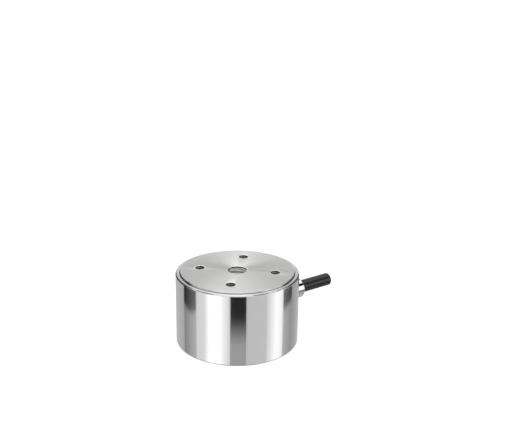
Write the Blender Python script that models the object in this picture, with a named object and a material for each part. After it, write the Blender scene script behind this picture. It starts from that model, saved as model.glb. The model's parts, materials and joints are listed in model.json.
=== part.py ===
"""Tension and compression force sensor, a flat steel can 50 mm across and 30 mm high.

The frame: origin at the centre of the base face, +Z up the load axis, +X out along the cable.
The load goes from the load flange down the hub, out through four spokes to the outer ring, and
from the ring into the base flange. Strain gauges under the spokes read it. A thin sleeve, a
sealing diaphragm and a cable gland close the can. Run it with
blender --background --python part.py, or from the text editor.
"""

from math import asin, cos, pi, radians, sin, tan

import bmesh
import bpy
from mathutils import Matrix, Vector

MM = 0.001

# Body
BODY_DIAMETER = 50.0 * MM
BODY_HEIGHT = 30.0 * MM
SLEEVE_WALL = 1.3 * MM
RIM_CHAMFER = 0.4 * MM
FOOT_CHAMFER = 0.3 * MM
RIM_DROP = 0.6 * MM             # load face stands this far above the sleeve's rim
FOOT_LIFT = 0.15 * MM           # base face stands this far below the sleeve's foot
EDGE_BREAK = 0.2 * MM

# Clearances
SEAT_GAP = 0.3 * MM             # between pieces that are pressed or screwed together
BOND_GAP = 0.1 * MM             # glue line under a strain gauge
FLANGE_CLEARANCE = 0.5 * MM     # working gap between load flange and sleeve
STOP_GAP = 0.6 * MM             # hub to base boss, closed only by an overload

# Wheel-spoke spring element, which grows with the body
LOAD_FLANGE_THICKNESS = BODY_HEIGHT * 7 / 30
SLOT_HEIGHT = 0.8 * MM
SPOKE_HEIGHT = BODY_HEIGHT / 6
SPOKE_WIDTH = BODY_DIAMETER * 7 / 50
SPOKE_COUNT = 4
FIRST_SPOKE_ANGLE = radians(45)     # on the diagonals, clear of the cable
WINDOW_LAND = 0.8 * MM          # metal left at the hub and at the ring beside a window
WINDOW_FILLET = BODY_DIAMETER * 3 / 100
HUB_DIAMETER = BODY_DIAMETER * 16 / 50
HUB_DROP = BODY_HEIGHT * 11 / 150   # hub reaches this far below the spokes
RING_WALL = BODY_DIAMETER * 4 / 50

# Base flange
BASE_THICKNESS = BODY_HEIGHT * 12 / 50
SPIGOT_HEIGHT = BODY_HEIGHT / 20
BOSS_DIAMETER = BODY_DIAMETER * 14 / 50
LOCATING_STEP = 0.4 * MM        # the foot of the sleeve fits over a step of this width
LOCATING_HEIGHT = 1.5 * MM

# Threaded holes, drawn at their tapping size
CENTRE_THREAD = 8.0 * MM
CENTRE_TAP_DRILL = 6.8 * MM
CENTRE_DEPTH = BODY_HEIGHT * 11 / 30
FIXING_THREAD = 4.0 * MM
FIXING_TAP_DRILL = 3.3 * MM
FIXING_DEPTH = BODY_HEIGHT / 6
FIXING_COUNT = 4
FIXING_CIRCLE = BODY_DIAMETER * 31 / 50
FIXING_ANGLE = radians(45)
COUNTERSINK_EXTRA = 0.2 * MM    # countersink over thread diameter
DRILL_POINT_ANGLE = radians(118)

# Sealing diaphragm
DIAPHRAGM_THICKNESS = 0.35 * MM
DIAPHRAGM_LIP = 0.95 * MM
DIAPHRAGM_LIP_THICKNESS = 0.15 * MM
DIAPHRAGM_SEAT_WIDTH = 0.4 * MM
DIAPHRAGM_CLEARANCE = 0.15 * MM

# Strain gauges and their leads
GAUGE_LENGTH = BODY_DIAMETER * 34 / 500
GAUGE_WIDTH = BODY_DIAMETER * 44 / 500
GAUGE_BACKING = 0.12 * MM
GAUGE_GRID = 0.13 * MM
GAUGE_MARGIN = 0.7 * MM
GAUGE_INSET = 0.7 * MM          # from the hub or the ring to the gauge
LEAD_WIDTH = 1.2 * MM
LEAD_THICKNESS = 0.35 * MM
LEAD_START = GAUGE_LENGTH / 4   # from the gauge's centre
LEAD_RUN = GAUGE_LENGTH / 3     # along the spoke before the lead hangs down

# Circuit board
BOARD_THICKNESS = 1.0 * MM
BOARD_EDGE_GAP = 0.4 * MM
SPACER_HEIGHT = BODY_HEIGHT * 8 / 150
SPACER_SHARE = 0.54             # of the board's width
BOARD_SCREW_COUNT = 3
BOARD_SCREW_ANGLE = radians(60)
SCREW_DIAMETER = 1.6 * MM
SCREW_HEAD_DIAMETER = 2.7 * MM
SCREW_HEAD_HEIGHT = 0.9 * MM
SCREW_ENGAGEMENT = 2.1 * MM     # length of the screw in the base
SCREW_HOLE_SPARE = 0.4 * MM
SCREW_CLEARANCE = 0.15 * MM
SOCKET_WIDTH = 1.4 * MM
SOCKET_DEPTH = 0.5 * MM
RESISTOR_LENGTH = BODY_DIAMETER * 32 / 500
RESISTOR_WIDTH = 1.6 * MM
RESISTOR_HEIGHT = 0.7 * MM
RESISTOR_CAP = 0.5 * MM
RESISTOR_RELIEF = 0.1 * MM
RESISTOR_ANGLES = [radians(a) for a in (77, 103, 257, 283)]

# Cable
CABLE_AXIS_HEIGHT = BODY_HEIGHT * 97 / 200
CABLE_DIAMETER = 5.5 * MM
CABLE_REACH = 24.4 * MM         # cut end, measured from the wall
CABLE_END_ROUND = 0.3 * MM
CABLE_TAIL = 0.4 * MM           # jacket inside the can, past the crimp ring
JACKET_WALL = 0.8 * MM
SCREEN_WALL = 0.25 * MM
CABLE_LAYER_GAP = 0.15 * MM
CONDUCTOR_DIAMETER = 1.0 * MM
CONDUCTOR_GAP = 0.1 * MM
PAD_INSET = 2.0 * MM            # solder pads, from the board's edge
PAD_SPACING = 2.0 * MM          # between neighbouring solder pads

# Cable gland
GLAND_REACH = 8.0 * MM          # outer face, measured from the wall
GLAND_DIAMETER = 8.8 * MM
GLAND_SHOULDER = 0.8 * MM
GLAND_STUB_DIAMETER = 7.2 * MM
GLAND_COLLAR = 0.6 * MM         # collar stands out of the wall by this much
GLAND_THREAD_CLEARANCE = 0.2 * MM
GLAND_CABLE_CLEARANCE = 0.15 * MM
GLAND_OUTER_STUB = 3.0 * MM
GLAND_END_WALL = 1.2 * MM
SPOT_FACE_DEPTH = 1.4 * MM
ORING_SECTION = 0.6 * MM
ORING_CLEARANCE = 0.1 * MM
CLAMP_WASHER_THICKNESS = 0.6 * MM
CRIMP_LENGTH = BODY_DIAMETER * 18 / 500
CRIMP_WALL = 0.5 * MM

# Facets
BODY_SEGMENTS = 64
BOARD_SEGMENTS = 48
BORE_SEGMENTS = 32
GLAND_SEGMENTS = 24
SMALL_SEGMENTS = 16
TINY_SEGMENTS = 8
SOCKET_SEGMENTS = 6
WINDOW_INNER_STEPS = 4
WINDOW_OUTER_STEPS = 10
FILLET_STEPS = 3
SHOULDER_STEPS = 4
LEAD_STEPS = 8
CONDUCTOR_STEPS = 14
CUTTER_OVERRUN = 1.0 * MM
WELD = 0.00001 * MM
SMOOTH_ANGLE = radians(35)

# Radii and heights that follow from the sizes above
body_r = BODY_DIAMETER / 2
sleeve_inner_r = body_r - SLEEVE_WALL
rim_top = BODY_HEIGHT - RIM_DROP
ring_outer_r = sleeve_inner_r - SEAT_GAP
ring_inner_r = ring_outer_r - RING_WALL
load_flange_r = sleeve_inner_r - FLANGE_CLEARANCE
hub_r = HUB_DIAMETER / 2
boss_r = BOSS_DIAMETER / 2
flange_bottom = BODY_HEIGHT - LOAD_FLANGE_THICKNESS
ring_top = flange_bottom - SLOT_HEIGHT
spoke_bottom = ring_top - SPOKE_HEIGHT
hub_bottom = spoke_bottom - HUB_DROP
boss_top = hub_bottom - STOP_GAP
ring_bottom = BASE_THICKNESS + SEAT_GAP
spigot_r = ring_inner_r - SEAT_GAP
spigot_top = BASE_THICKNESS + SPIGOT_HEIGHT
spacer_bottom = spigot_top + SEAT_GAP
board_bottom = spacer_bottom + SPACER_HEIGHT + SEAT_GAP
board_top = board_bottom + BOARD_THICKNESS
gland_inner_end = ring_inner_r - SEAT_GAP
crimp_start = gland_inner_end - SEAT_GAP - CRIMP_LENGTH
jacket_start = crimp_start - CABLE_TAIL
board_outer_r = jacket_start - BOARD_EDGE_GAP
board_inner_r = boss_r + SEAT_GAP
spacer_outer_r = board_outer_r - SEAT_GAP
spacer_inner_r = spacer_outer_r - SPACER_SHARE * (board_outer_r - board_inner_r)
board_screw_r = (spacer_inner_r + spacer_outer_r) / 2
screw_length = BOND_GAP + board_top - spigot_top + SCREW_ENGAGEMENT
cable_r = CABLE_DIAMETER / 2
cable_end = body_r + CABLE_REACH
screen_outer_r = cable_r - JACKET_WALL - CABLE_LAYER_GAP
gland_r = GLAND_DIAMETER / 2
gland_bore_r = cable_r + GLAND_CABLE_CLEARANCE
gland_stub_r = GLAND_STUB_DIAMETER / 2
gland_hole_r = gland_stub_r + GLAND_THREAD_CLEARANCE
gland_face = body_r + GLAND_REACH
spot_face = ring_outer_r - SPOT_FACE_DEPTH
gland_seat = spot_face + ORING_SECTION + 2 * ORING_CLEARANCE
collar_end = body_r + GLAND_COLLAR
outer_stub_end = collar_end + GLAND_OUTER_STUB


def clear_scene():
    """Empties the file of objects, so that a second run starts afresh."""
    for obj in list(bpy.data.objects):
        bpy.data.objects.remove(obj, do_unlink=True)


def material(name, colour, roughness, metallic):
    """One Principled material."""
    mat = bpy.data.materials.new(name)
    mat.use_nodes = True
    shader = mat.node_tree.nodes["Principled BSDF"]
    shader.inputs["Base Color"].default_value = (*colour, 1.0)
    shader.inputs["Roughness"].default_value = roughness
    shader.inputs["Metallic"].default_value = metallic
    return mat


def add_object(name, data, mat, parent=None):
    """Links a mesh or curve to the scene under a name, on an empty where one is given."""
    obj = bpy.data.objects.new(name, data)
    bpy.context.collection.objects.link(obj)
    obj.parent = parent
    if mat:
        data.materials.append(mat)
    return obj


def finish_mesh(name, bm):
    """Turns a closed bmesh into a smooth-shaded mesh whose faces point out."""
    bmesh.ops.remove_doubles(bm, verts=bm.verts, dist=WELD)
    bmesh.ops.recalc_face_normals(bm, faces=bm.faces)
    mesh = bpy.data.meshes.new(name)
    bm.to_mesh(mesh)
    bm.free()
    mesh.shade_smooth()
    mesh.set_sharp_from_angle(angle=SMOOTH_ANGLE)
    return mesh


def lathe_mesh(name, outline, segments):
    """Turned form about local Z. The (radius, height) outline is a closed loop,
    or runs from the axis to the axis."""
    bm = bmesh.new()
    verts = [bm.verts.new((r, 0.0, z)) for r, z in outline]
    pairs = list(zip(verts, verts[1:]))
    if outline[0][0] > 0:
        pairs.append((verts[-1], verts[0]))
    edges = [bm.edges.new(pair) for pair in pairs]
    bmesh.ops.spin(bm, geom=verts + edges, axis=(0, 0, 1), cent=(0, 0, 0),
                   steps=segments, angle=2 * pi, use_merge=True)
    return finish_mesh(name, bm)


def lathe(name, outline, mat, segments=BODY_SEGMENTS, parent=None):
    """A turned piece."""
    return add_object(name, lathe_mesh(name, outline, segments), mat, parent)


def prism_mesh(name, outline, depth):
    """Closed (x, y) outline extruded along +Z by depth."""
    bm = bmesh.new()
    face = bm.faces.new([bm.verts.new((x, y, 0.0)) for x, y in outline])
    grown = bmesh.ops.extrude_face_region(bm, geom=[face])
    top = [v for v in grown["geom"] if isinstance(v, bmesh.types.BMVert)]
    bmesh.ops.translate(bm, verts=top, vec=(0, 0, depth))
    return finish_mesh(name, bm)


def ring_outline(inner_r, outer_r, bottom, top):
    """Square section of a plain ring."""
    return [(inner_r, bottom), (outer_r, bottom), (outer_r, top), (inner_r, top)]


def at_angle(radius, angle, height=0.0):
    """Point at a radius and an angle about the load axis."""
    return Vector((radius * cos(angle), radius * sin(angle), height))


def cut(target, name, mesh, matrix=None, parent=None):
    """Takes a cutter's form out of the target with a Boolean modifier."""
    cutter = add_object(name, mesh, None, parent)
    cutter.matrix_local = matrix or Matrix.Identity(4)
    cutter.hide_render = True
    cutter.display_type = "WIRE"
    boolean = target.modifiers.new(name, "BOOLEAN")
    boolean.operation = "DIFFERENCE"
    boolean.solver = "EXACT"
    boolean.object = cutter


def tapped_hole_mesh(name, thread, tap_drill, depth, segments):
    """Cutter for a countersunk blind hole that goes down from local Z = 0."""
    bore_r = tap_drill / 2
    sink_r = (thread + COUNTERSINK_EXTRA) / 2
    sink_depth = sink_r - bore_r
    point_depth = bore_r / tan(DRILL_POINT_ANGLE / 2)
    outline = [
        (0.0, CUTTER_OVERRUN),
        (sink_r, CUTTER_OVERRUN),
        (sink_r, 0.0),
        (bore_r, -sink_depth),
        (bore_r, -depth),
        (0.0, -depth - point_depth),
    ]
    return lathe_mesh(name, outline, segments)


def cut_fixing_holes(target, face_height, facing_up):
    """Centre thread and its circle of fixing threads, in the load face or the base face."""
    turn = Matrix.Identity(4) if facing_up else Matrix.Rotation(pi, 4, "X")
    place = Matrix.Translation((0, 0, face_height))
    name = f"{target.name}_centre_tap"
    mesh = tapped_hole_mesh(name, CENTRE_THREAD, CENTRE_TAP_DRILL, CENTRE_DEPTH, BORE_SEGMENTS)
    cut(target, name, mesh, place @ turn)
    name = f"{target.name}_fixing_tap"
    mesh = tapped_hole_mesh(name, FIXING_THREAD, FIXING_TAP_DRILL, FIXING_DEPTH, SMALL_SEGMENTS)
    for i in range(FIXING_COUNT):
        spot = at_angle(FIXING_CIRCLE / 2, FIXING_ANGLE + 2 * pi * i / FIXING_COUNT, face_height)
        cut(target, f"{name}_{i + 1}", mesh, Matrix.Translation(spot) @ turn)


def spoke_angle(index):
    """Where each spoke stands."""
    return FIRST_SPOKE_ANGLE + 2 * pi * index / SPOKE_COUNT


def arc(radius, start, end, steps):
    """Points from one angle to another at a radius."""
    return [at_angle(radius, start + (end - start) * i / steps) for i in range(steps + 1)]


def window_mesh():
    """Cutter for the space between two spokes, centred on local +X, with filleted corners."""
    inner_r = hub_r + WINDOW_LAND
    outer_r = ring_inner_r - WINDOW_LAND
    half_pitch = pi / SPOKE_COUNT
    inner_half = half_pitch - asin(SPOKE_WIDTH / 2 / inner_r)
    outer_half = half_pitch - asin(SPOKE_WIDTH / 2 / outer_r)
    outline = arc(outer_r, -outer_half, outer_half, WINDOW_OUTER_STEPS)
    outline += arc(inner_r, inner_half, -inner_half, WINDOW_INNER_STEPS)
    bm = bmesh.new()
    face = bm.faces.new([bm.verts.new(p) for p in outline])
    corners = (0, WINDOW_OUTER_STEPS, WINDOW_OUTER_STEPS + 1, len(outline) - 1)
    bm.verts.ensure_lookup_table()
    bmesh.ops.bevel(bm, geom=[bm.verts[i] for i in corners], offset=WINDOW_FILLET,
                    segments=FILLET_STEPS, profile=0.5, affect="VERTICES")
    grown = bmesh.ops.extrude_face_region(bm, geom=list(bm.faces))
    top = [v for v in grown["geom"] if isinstance(v, bmesh.types.BMVert)]
    bmesh.ops.translate(bm, verts=top, vec=(0, 0, SPOKE_HEIGHT + CUTTER_OVERRUN + SLOT_HEIGHT / 2))
    return finish_mesh("spoke_window", bm)


def make_spring_element(mat, cable_axis):
    """Load flange, hub, spokes and outer ring, turned and milled from one bar."""
    outline = [
        (0.0, BODY_HEIGHT),
        (load_flange_r - EDGE_BREAK, BODY_HEIGHT),
        (load_flange_r, BODY_HEIGHT - EDGE_BREAK),
        (load_flange_r, flange_bottom),
        (hub_r, flange_bottom),
        (hub_r, ring_top),
        (ring_outer_r, ring_top),
        (ring_outer_r, ring_bottom),
        (ring_inner_r, ring_bottom),
        (ring_inner_r, spoke_bottom),
        (hub_r, spoke_bottom),
        (hub_r, hub_bottom),
        (0.0, hub_bottom),
    ]
    element = lathe("spring_element", outline, mat)
    window = window_mesh()
    for i in range(SPOKE_COUNT):
        turn = Matrix.Rotation(spoke_angle(i) + pi / SPOKE_COUNT, 4, "Z")
        place = Matrix.Translation((0, 0, spoke_bottom - CUTTER_OVERRUN))
        cut(element, f"spoke_window_{i + 1}", window, place @ turn)
    cut_fixing_holes(element, BODY_HEIGHT, facing_up=True)
    bore = lathe_mesh("gland_bore", [
        (0.0, ring_inner_r - CUTTER_OVERRUN),
        (gland_hole_r, ring_inner_r - CUTTER_OVERRUN),
        (gland_hole_r, spot_face),
        (gland_r + SEAT_GAP, spot_face),
        (gland_r + SEAT_GAP, body_r),
        (0.0, body_r),
    ], GLAND_SEGMENTS)
    cut(element, "gland_bore", bore, parent=cable_axis)


def make_base_flange(mat):
    """Flange, spigot for the ring, and the boss that holds the centre thread."""
    step_r = sleeve_inner_r - SEAT_GAP
    foot_r = sleeve_inner_r + LOCATING_STEP - SEAT_GAP
    outline = [
        (0.0, boss_top),
        (boss_r, boss_top),
        (boss_r, spigot_top),
        (spigot_r, spigot_top),
        (spigot_r, BASE_THICKNESS),
        (step_r, BASE_THICKNESS),
        (step_r, LOCATING_HEIGHT),
        (foot_r, LOCATING_HEIGHT),
        (foot_r, EDGE_BREAK),
        (foot_r - EDGE_BREAK, 0.0),
        (0.0, 0.0),
    ]
    base = lathe("base_flange", outline, mat)
    cut_fixing_holes(base, 0.0, facing_up=False)
    hole_bottom = spigot_top - SCREW_ENGAGEMENT - SCREW_HOLE_SPARE
    cut_board_screw_holes(base, hole_bottom, spigot_top + CUTTER_OVERRUN)


def make_outer_sleeve(mat, cable_axis):
    """Turned tube with a chamfered rim, a rebate for the diaphragm and a hole for the gland."""
    step_r = sleeve_inner_r + LOCATING_STEP
    rebate_r = sleeve_inner_r + DIAPHRAGM_SEAT_WIDTH
    ledge = rim_top - DIAPHRAGM_THICKNESS - DIAPHRAGM_CLEARANCE
    step_top = LOCATING_HEIGHT + SEAT_GAP
    outline = [
        (step_r, FOOT_LIFT),
        (body_r - FOOT_CHAMFER, FOOT_LIFT),
        (body_r, FOOT_LIFT + FOOT_CHAMFER),
        (body_r, rim_top - RIM_CHAMFER),
        (body_r - RIM_CHAMFER, rim_top),
        (rebate_r, rim_top),
        (rebate_r, ledge),
        (sleeve_inner_r, ledge),
        (sleeve_inner_r, step_top),
        (step_r, step_top),
    ]
    sleeve = lathe("outer_sleeve", outline, mat)
    hole = lathe_mesh("sleeve_hole", [
        (0.0, sleeve_inner_r - CUTTER_OVERRUN),
        (gland_r + SEAT_GAP, sleeve_inner_r - CUTTER_OVERRUN),
        (gland_r + SEAT_GAP, body_r + CUTTER_OVERRUN),
        (0.0, body_r + CUTTER_OVERRUN),
    ], GLAND_SEGMENTS)
    cut(sleeve, "sleeve_hole", hole, parent=cable_axis)


def make_sealing_diaphragm(mat):
    """Thin ring that closes the gap round the load flange, with a turned-down lip."""
    outer_r = sleeve_inner_r + DIAPHRAGM_SEAT_WIDTH - DIAPHRAGM_CLEARANCE
    lip_outer_r = sleeve_inner_r - DIAPHRAGM_CLEARANCE
    lip_inner_r = lip_outer_r - DIAPHRAGM_LIP_THICKNESS
    underside = rim_top - DIAPHRAGM_THICKNESS
    outline = [
        (lip_inner_r, underside - DIAPHRAGM_LIP),
        (lip_outer_r, underside - DIAPHRAGM_LIP),
        (lip_outer_r, underside),
        (outer_r, underside),
        (outer_r, rim_top),
        (lip_inner_r, rim_top),
    ]
    lathe("sealing_diaphragm", outline, mat)


def gauge_mesh():
    """Foil gauge: a backing film with the raised grid under it, its bonded face at Z = 0."""
    bm = bmesh.new()
    half_length, half_width = GAUGE_LENGTH / 2, GAUGE_WIDTH / 2
    corners = [(-half_length, -half_width), (half_length, -half_width),
               (half_length, half_width), (-half_length, half_width)]
    face = bm.faces.new([bm.verts.new((x, y, 0.0)) for x, y in corners])
    grown = bmesh.ops.extrude_face_region(bm, geom=[face])
    low = [v for v in grown["geom"] if isinstance(v, bmesh.types.BMVert)]
    bmesh.ops.translate(bm, verts=low, vec=(0, 0, -GAUGE_BACKING))
    bm.normal_update()
    under = [f for f in grown["geom"] if isinstance(f, bmesh.types.BMFace)]
    bmesh.ops.inset_individual(bm, faces=under, thickness=GAUGE_MARGIN)
    grown = bmesh.ops.extrude_face_region(bm, geom=under)
    low = [v for v in grown["geom"] if isinstance(v, bmesh.types.BMVert)]
    bmesh.ops.translate(bm, verts=low, vec=(0, 0, -GAUGE_GRID))
    bmesh.ops.delete(bm, geom=under, context="FACES")
    return finish_mesh("strain_gauge", bm)


def smooth_route(start, start_pull, end_pull, end, steps):
    """Points along a cubic curve through start and end, drawn by two pull points."""
    route = []
    for i in range(steps + 1):
        t = i / steps
        u = 1 - t
        near = u ** 3 * start + 3 * u * u * t * start_pull
        far = 3 * u * t * t * end_pull + t ** 3 * end
        route.append(near + far)
    return route


def ribbon(name, route, side, mat):
    """Flat lead: a rectangle swept along the route, its width along the side direction."""
    bm = bmesh.new()
    rings = []
    for i, point in enumerate(route):
        ahead = route[min(i + 1, len(route) - 1)]
        behind = route[max(i - 1, 0)]
        across = side * LEAD_WIDTH / 2
        through = (ahead - behind).normalized().cross(side) * LEAD_THICKNESS / 2
        corners = (across + through, across - through, -across - through, -across + through)
        rings.append([bm.verts.new(point + c) for c in corners])
    for low, high in zip(rings, rings[1:]):
        for k in range(4):
            bm.faces.new((low[k], low[(k + 1) % 4], high[(k + 1) % 4], high[k]))
    bm.faces.new(rings[0])
    bm.faces.new(rings[-1])
    add_object(name, finish_mesh(name, bm), mat)


def make_strain_gauges(gauge_mat, lead_mat):
    """Two gauges under each spoke, one by the hub and one by the ring, each with its lead."""
    mesh = gauge_mesh()
    mesh.materials.append(gauge_mat)
    glued = spoke_bottom - BOND_GAP
    lead_top = glued - GAUGE_BACKING - GAUGE_GRID - BOND_GAP - LEAD_THICKNESS / 2
    lead_low = board_top + SEAT_GAP
    inner_r = hub_r + GAUGE_INSET + GAUGE_LENGTH / 2
    outer_r = ring_inner_r - GAUGE_INSET - GAUGE_LENGTH / 2
    for spoke in range(SPOKE_COUNT):
        angle = spoke_angle(spoke)
        side = at_angle(1.0, angle + pi / 2)
        for place, gauge_r in enumerate((inner_r, outer_r)):
            number = 2 * spoke + place + 1
            gauge = add_object(f"strain_gauge_{number}", mesh, None)
            gauge.location = at_angle(gauge_r, angle, glued)
            gauge.rotation_euler = (0, 0, angle)
            inward = -1 if place else 1
            start_r = gauge_r + inward * LEAD_START
            pad_r = start_r + inward * LEAD_RUN
            route = smooth_route(at_angle(start_r, angle, lead_top),
                                 at_angle(pad_r + inward * LEAD_START, angle, lead_top),
                                 at_angle(pad_r, angle, lead_top),
                                 at_angle(pad_r, angle, lead_low), LEAD_STEPS)
            ribbon(f"gauge_lead_{number}", route, side, lead_mat)


def cut_board_screw_holes(target, bottom, top):
    """Holes for the board screws between two heights."""
    mesh = lathe_mesh(f"{target.name}_screw_hole", [
        (0.0, bottom),
        (SCREW_DIAMETER / 2 + SCREW_CLEARANCE, bottom),
        (SCREW_DIAMETER / 2 + SCREW_CLEARANCE, top),
        (0.0, top),
    ], TINY_SEGMENTS)
    for i in range(BOARD_SCREW_COUNT):
        spot = at_angle(board_screw_r, board_screw_angle(i))
        cut(target, f"{target.name}_screw_hole_{i + 1}", mesh, Matrix.Translation(spot))


def board_screw_angle(index):
    """Where each board screw stands, between the spokes' leads."""
    return BOARD_SCREW_ANGLE + 2 * pi * index / BOARD_SCREW_COUNT


def make_circuit_board(board_mat, spacer_mat, screw_mat, resistor_mat):
    """Balancing board on its spacer, held to the base spigot by small socket screws."""
    board_outline = ring_outline(board_inner_r, board_outer_r, board_bottom, board_top)
    board = lathe("circuit_board", board_outline, board_mat, BOARD_SEGMENTS)
    spacer_outline = ring_outline(spacer_inner_r, spacer_outer_r, spacer_bottom,
                                  spacer_bottom + SPACER_HEIGHT)
    spacer = lathe("board_spacer", spacer_outline, spacer_mat, BOARD_SEGMENTS)
    cut_board_screw_holes(board, board_bottom - CUTTER_OVERRUN, board_top + CUTTER_OVERRUN)
    cut_board_screw_holes(spacer, spacer_bottom - CUTTER_OVERRUN, board_bottom)

    head_r, shank_r = SCREW_HEAD_DIAMETER / 2, SCREW_DIAMETER / 2
    outline = [
        (0.0, SCREW_HEAD_HEIGHT),
        (head_r - EDGE_BREAK, SCREW_HEAD_HEIGHT),
        (head_r, SCREW_HEAD_HEIGHT - EDGE_BREAK),
        (head_r, 0.0),
        (shank_r, 0.0),
        (shank_r, EDGE_BREAK - screw_length),
        (shank_r - EDGE_BREAK, -screw_length),
        (0.0, -screw_length),
    ]
    screw_mesh = lathe_mesh("board_screw", outline, TINY_SEGMENTS)
    screw_mesh.materials.append(screw_mat)
    socket = lathe_mesh("screw_socket", [
        (0.0, SCREW_HEAD_HEIGHT - SOCKET_DEPTH),
        (SOCKET_WIDTH / 2, SCREW_HEAD_HEIGHT - SOCKET_DEPTH),
        (SOCKET_WIDTH / 2, SCREW_HEAD_HEIGHT + CUTTER_OVERRUN),
        (0.0, SCREW_HEAD_HEIGHT + CUTTER_OVERRUN),
    ], SOCKET_SEGMENTS)
    for i in range(BOARD_SCREW_COUNT):
        spot = at_angle(board_screw_r, board_screw_angle(i), board_top + BOND_GAP)
        screw = add_object(f"board_screw_{i + 1}", screw_mesh, None)
        screw.location = spot
        cut(screw, f"screw_socket_{i + 1}", socket, Matrix.Translation(spot))

    resistor_mesh = chip_mesh()
    resistor_mesh.materials.append(resistor_mat)
    middle_r = (board_inner_r + board_outer_r) / 2
    for i, angle in enumerate(RESISTOR_ANGLES):
        chip = add_object(f"trim_resistor_{i + 1}", resistor_mesh, None)
        chip.matrix_local = (Matrix.Translation(at_angle(middle_r, angle, board_top + BOND_GAP))
                             @ Matrix.Rotation(angle + pi / 2, 4, "Z")
                             @ Matrix.Rotation(pi / 2, 4, "X"))


def chip_mesh():
    """Chip resistor with its two raised end caps, long side on local X, up on local Y."""
    end, cap = RESISTOR_LENGTH / 2, RESISTOR_LENGTH / 2 - RESISTOR_CAP
    high, low = RESISTOR_HEIGHT, RESISTOR_HEIGHT - RESISTOR_RELIEF
    outline = [(-end, 0.0), (end, 0.0), (end, high), (cap, high),
               (cap, low), (-cap, low), (-cap, high), (-end, high)]
    mesh = prism_mesh("trim_resistor", outline, RESISTOR_WIDTH)
    mesh.transform(Matrix.Translation((0, 0, -RESISTOR_WIDTH / 2)))
    return mesh


def make_cable(jacket_mat, screen_mat, conductor_mats, crimp_mat, cable_axis):
    """Jacket, screen and four conductors, cut square at the outer end."""
    inner_r = cable_r - JACKET_WALL
    round_inset = CABLE_END_ROUND * (1 - cos(pi / 4))
    outline = [
        (inner_r, jacket_start),
        (cable_r, jacket_start),
        (cable_r, cable_end - CABLE_END_ROUND),
        (cable_r - round_inset, cable_end - round_inset),
        (cable_r - CABLE_END_ROUND, cable_end),
        (inner_r, cable_end),
    ]
    lathe("cable_jacket", outline, jacket_mat, GLAND_SEGMENTS, cable_axis)
    screen_outline = ring_outline(screen_outer_r - SCREEN_WALL, screen_outer_r,
                                  jacket_start + SEAT_GAP, cable_end - SEAT_GAP)
    lathe("cable_screen", screen_outline, screen_mat, GLAND_SEGMENTS, cable_axis)
    crimp_outline = ring_outline(gland_bore_r, gland_bore_r + CRIMP_WALL,
                                 crimp_start, crimp_start + CRIMP_LENGTH)
    lathe("crimp_ring", crimp_outline, crimp_mat, GLAND_SEGMENTS, cable_axis)

    offset = (CONDUCTOR_DIAMETER + CONDUCTOR_GAP) / 2
    pad_r = board_outer_r - PAD_INSET
    pad_height = board_top + SEAT_GAP
    places = [(side, level) for side in (-1, 1) for level in (-1, 1)]
    for i, (side, level) in enumerate(places):
        across = side * offset
        height = CABLE_AXIS_HEIGHT + level * offset
        pad_across = side * PAD_SPACING * (1 + level / 2)
        bend = smooth_route(Vector((jacket_start, across, height)),
                            Vector((pad_r, across, height)),
                            Vector((pad_r, pad_across, height)),
                            Vector((pad_r, pad_across, pad_height)), CONDUCTOR_STEPS)
        points = [Vector((cable_end - SEAT_GAP, across, height))] + bend
        round_wire(f"conductor_{i + 1}", points, CONDUCTOR_DIAMETER / 2, conductor_mats[i])


def round_wire(name, points, radius, mat):
    """Round lead along a list of points, as a bevelled curve with filled ends."""
    curve = bpy.data.curves.new(name, "CURVE")
    curve.dimensions = "3D"
    curve.bevel_depth = radius
    curve.bevel_resolution = 2
    curve.use_fill_caps = True
    spline = curve.splines.new("POLY")
    spline.points.add(len(points) - 1)
    for spline_point, place in zip(spline.points, points):
        spline_point.co = (*place, 1.0)
    add_object(name, curve, mat)


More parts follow.
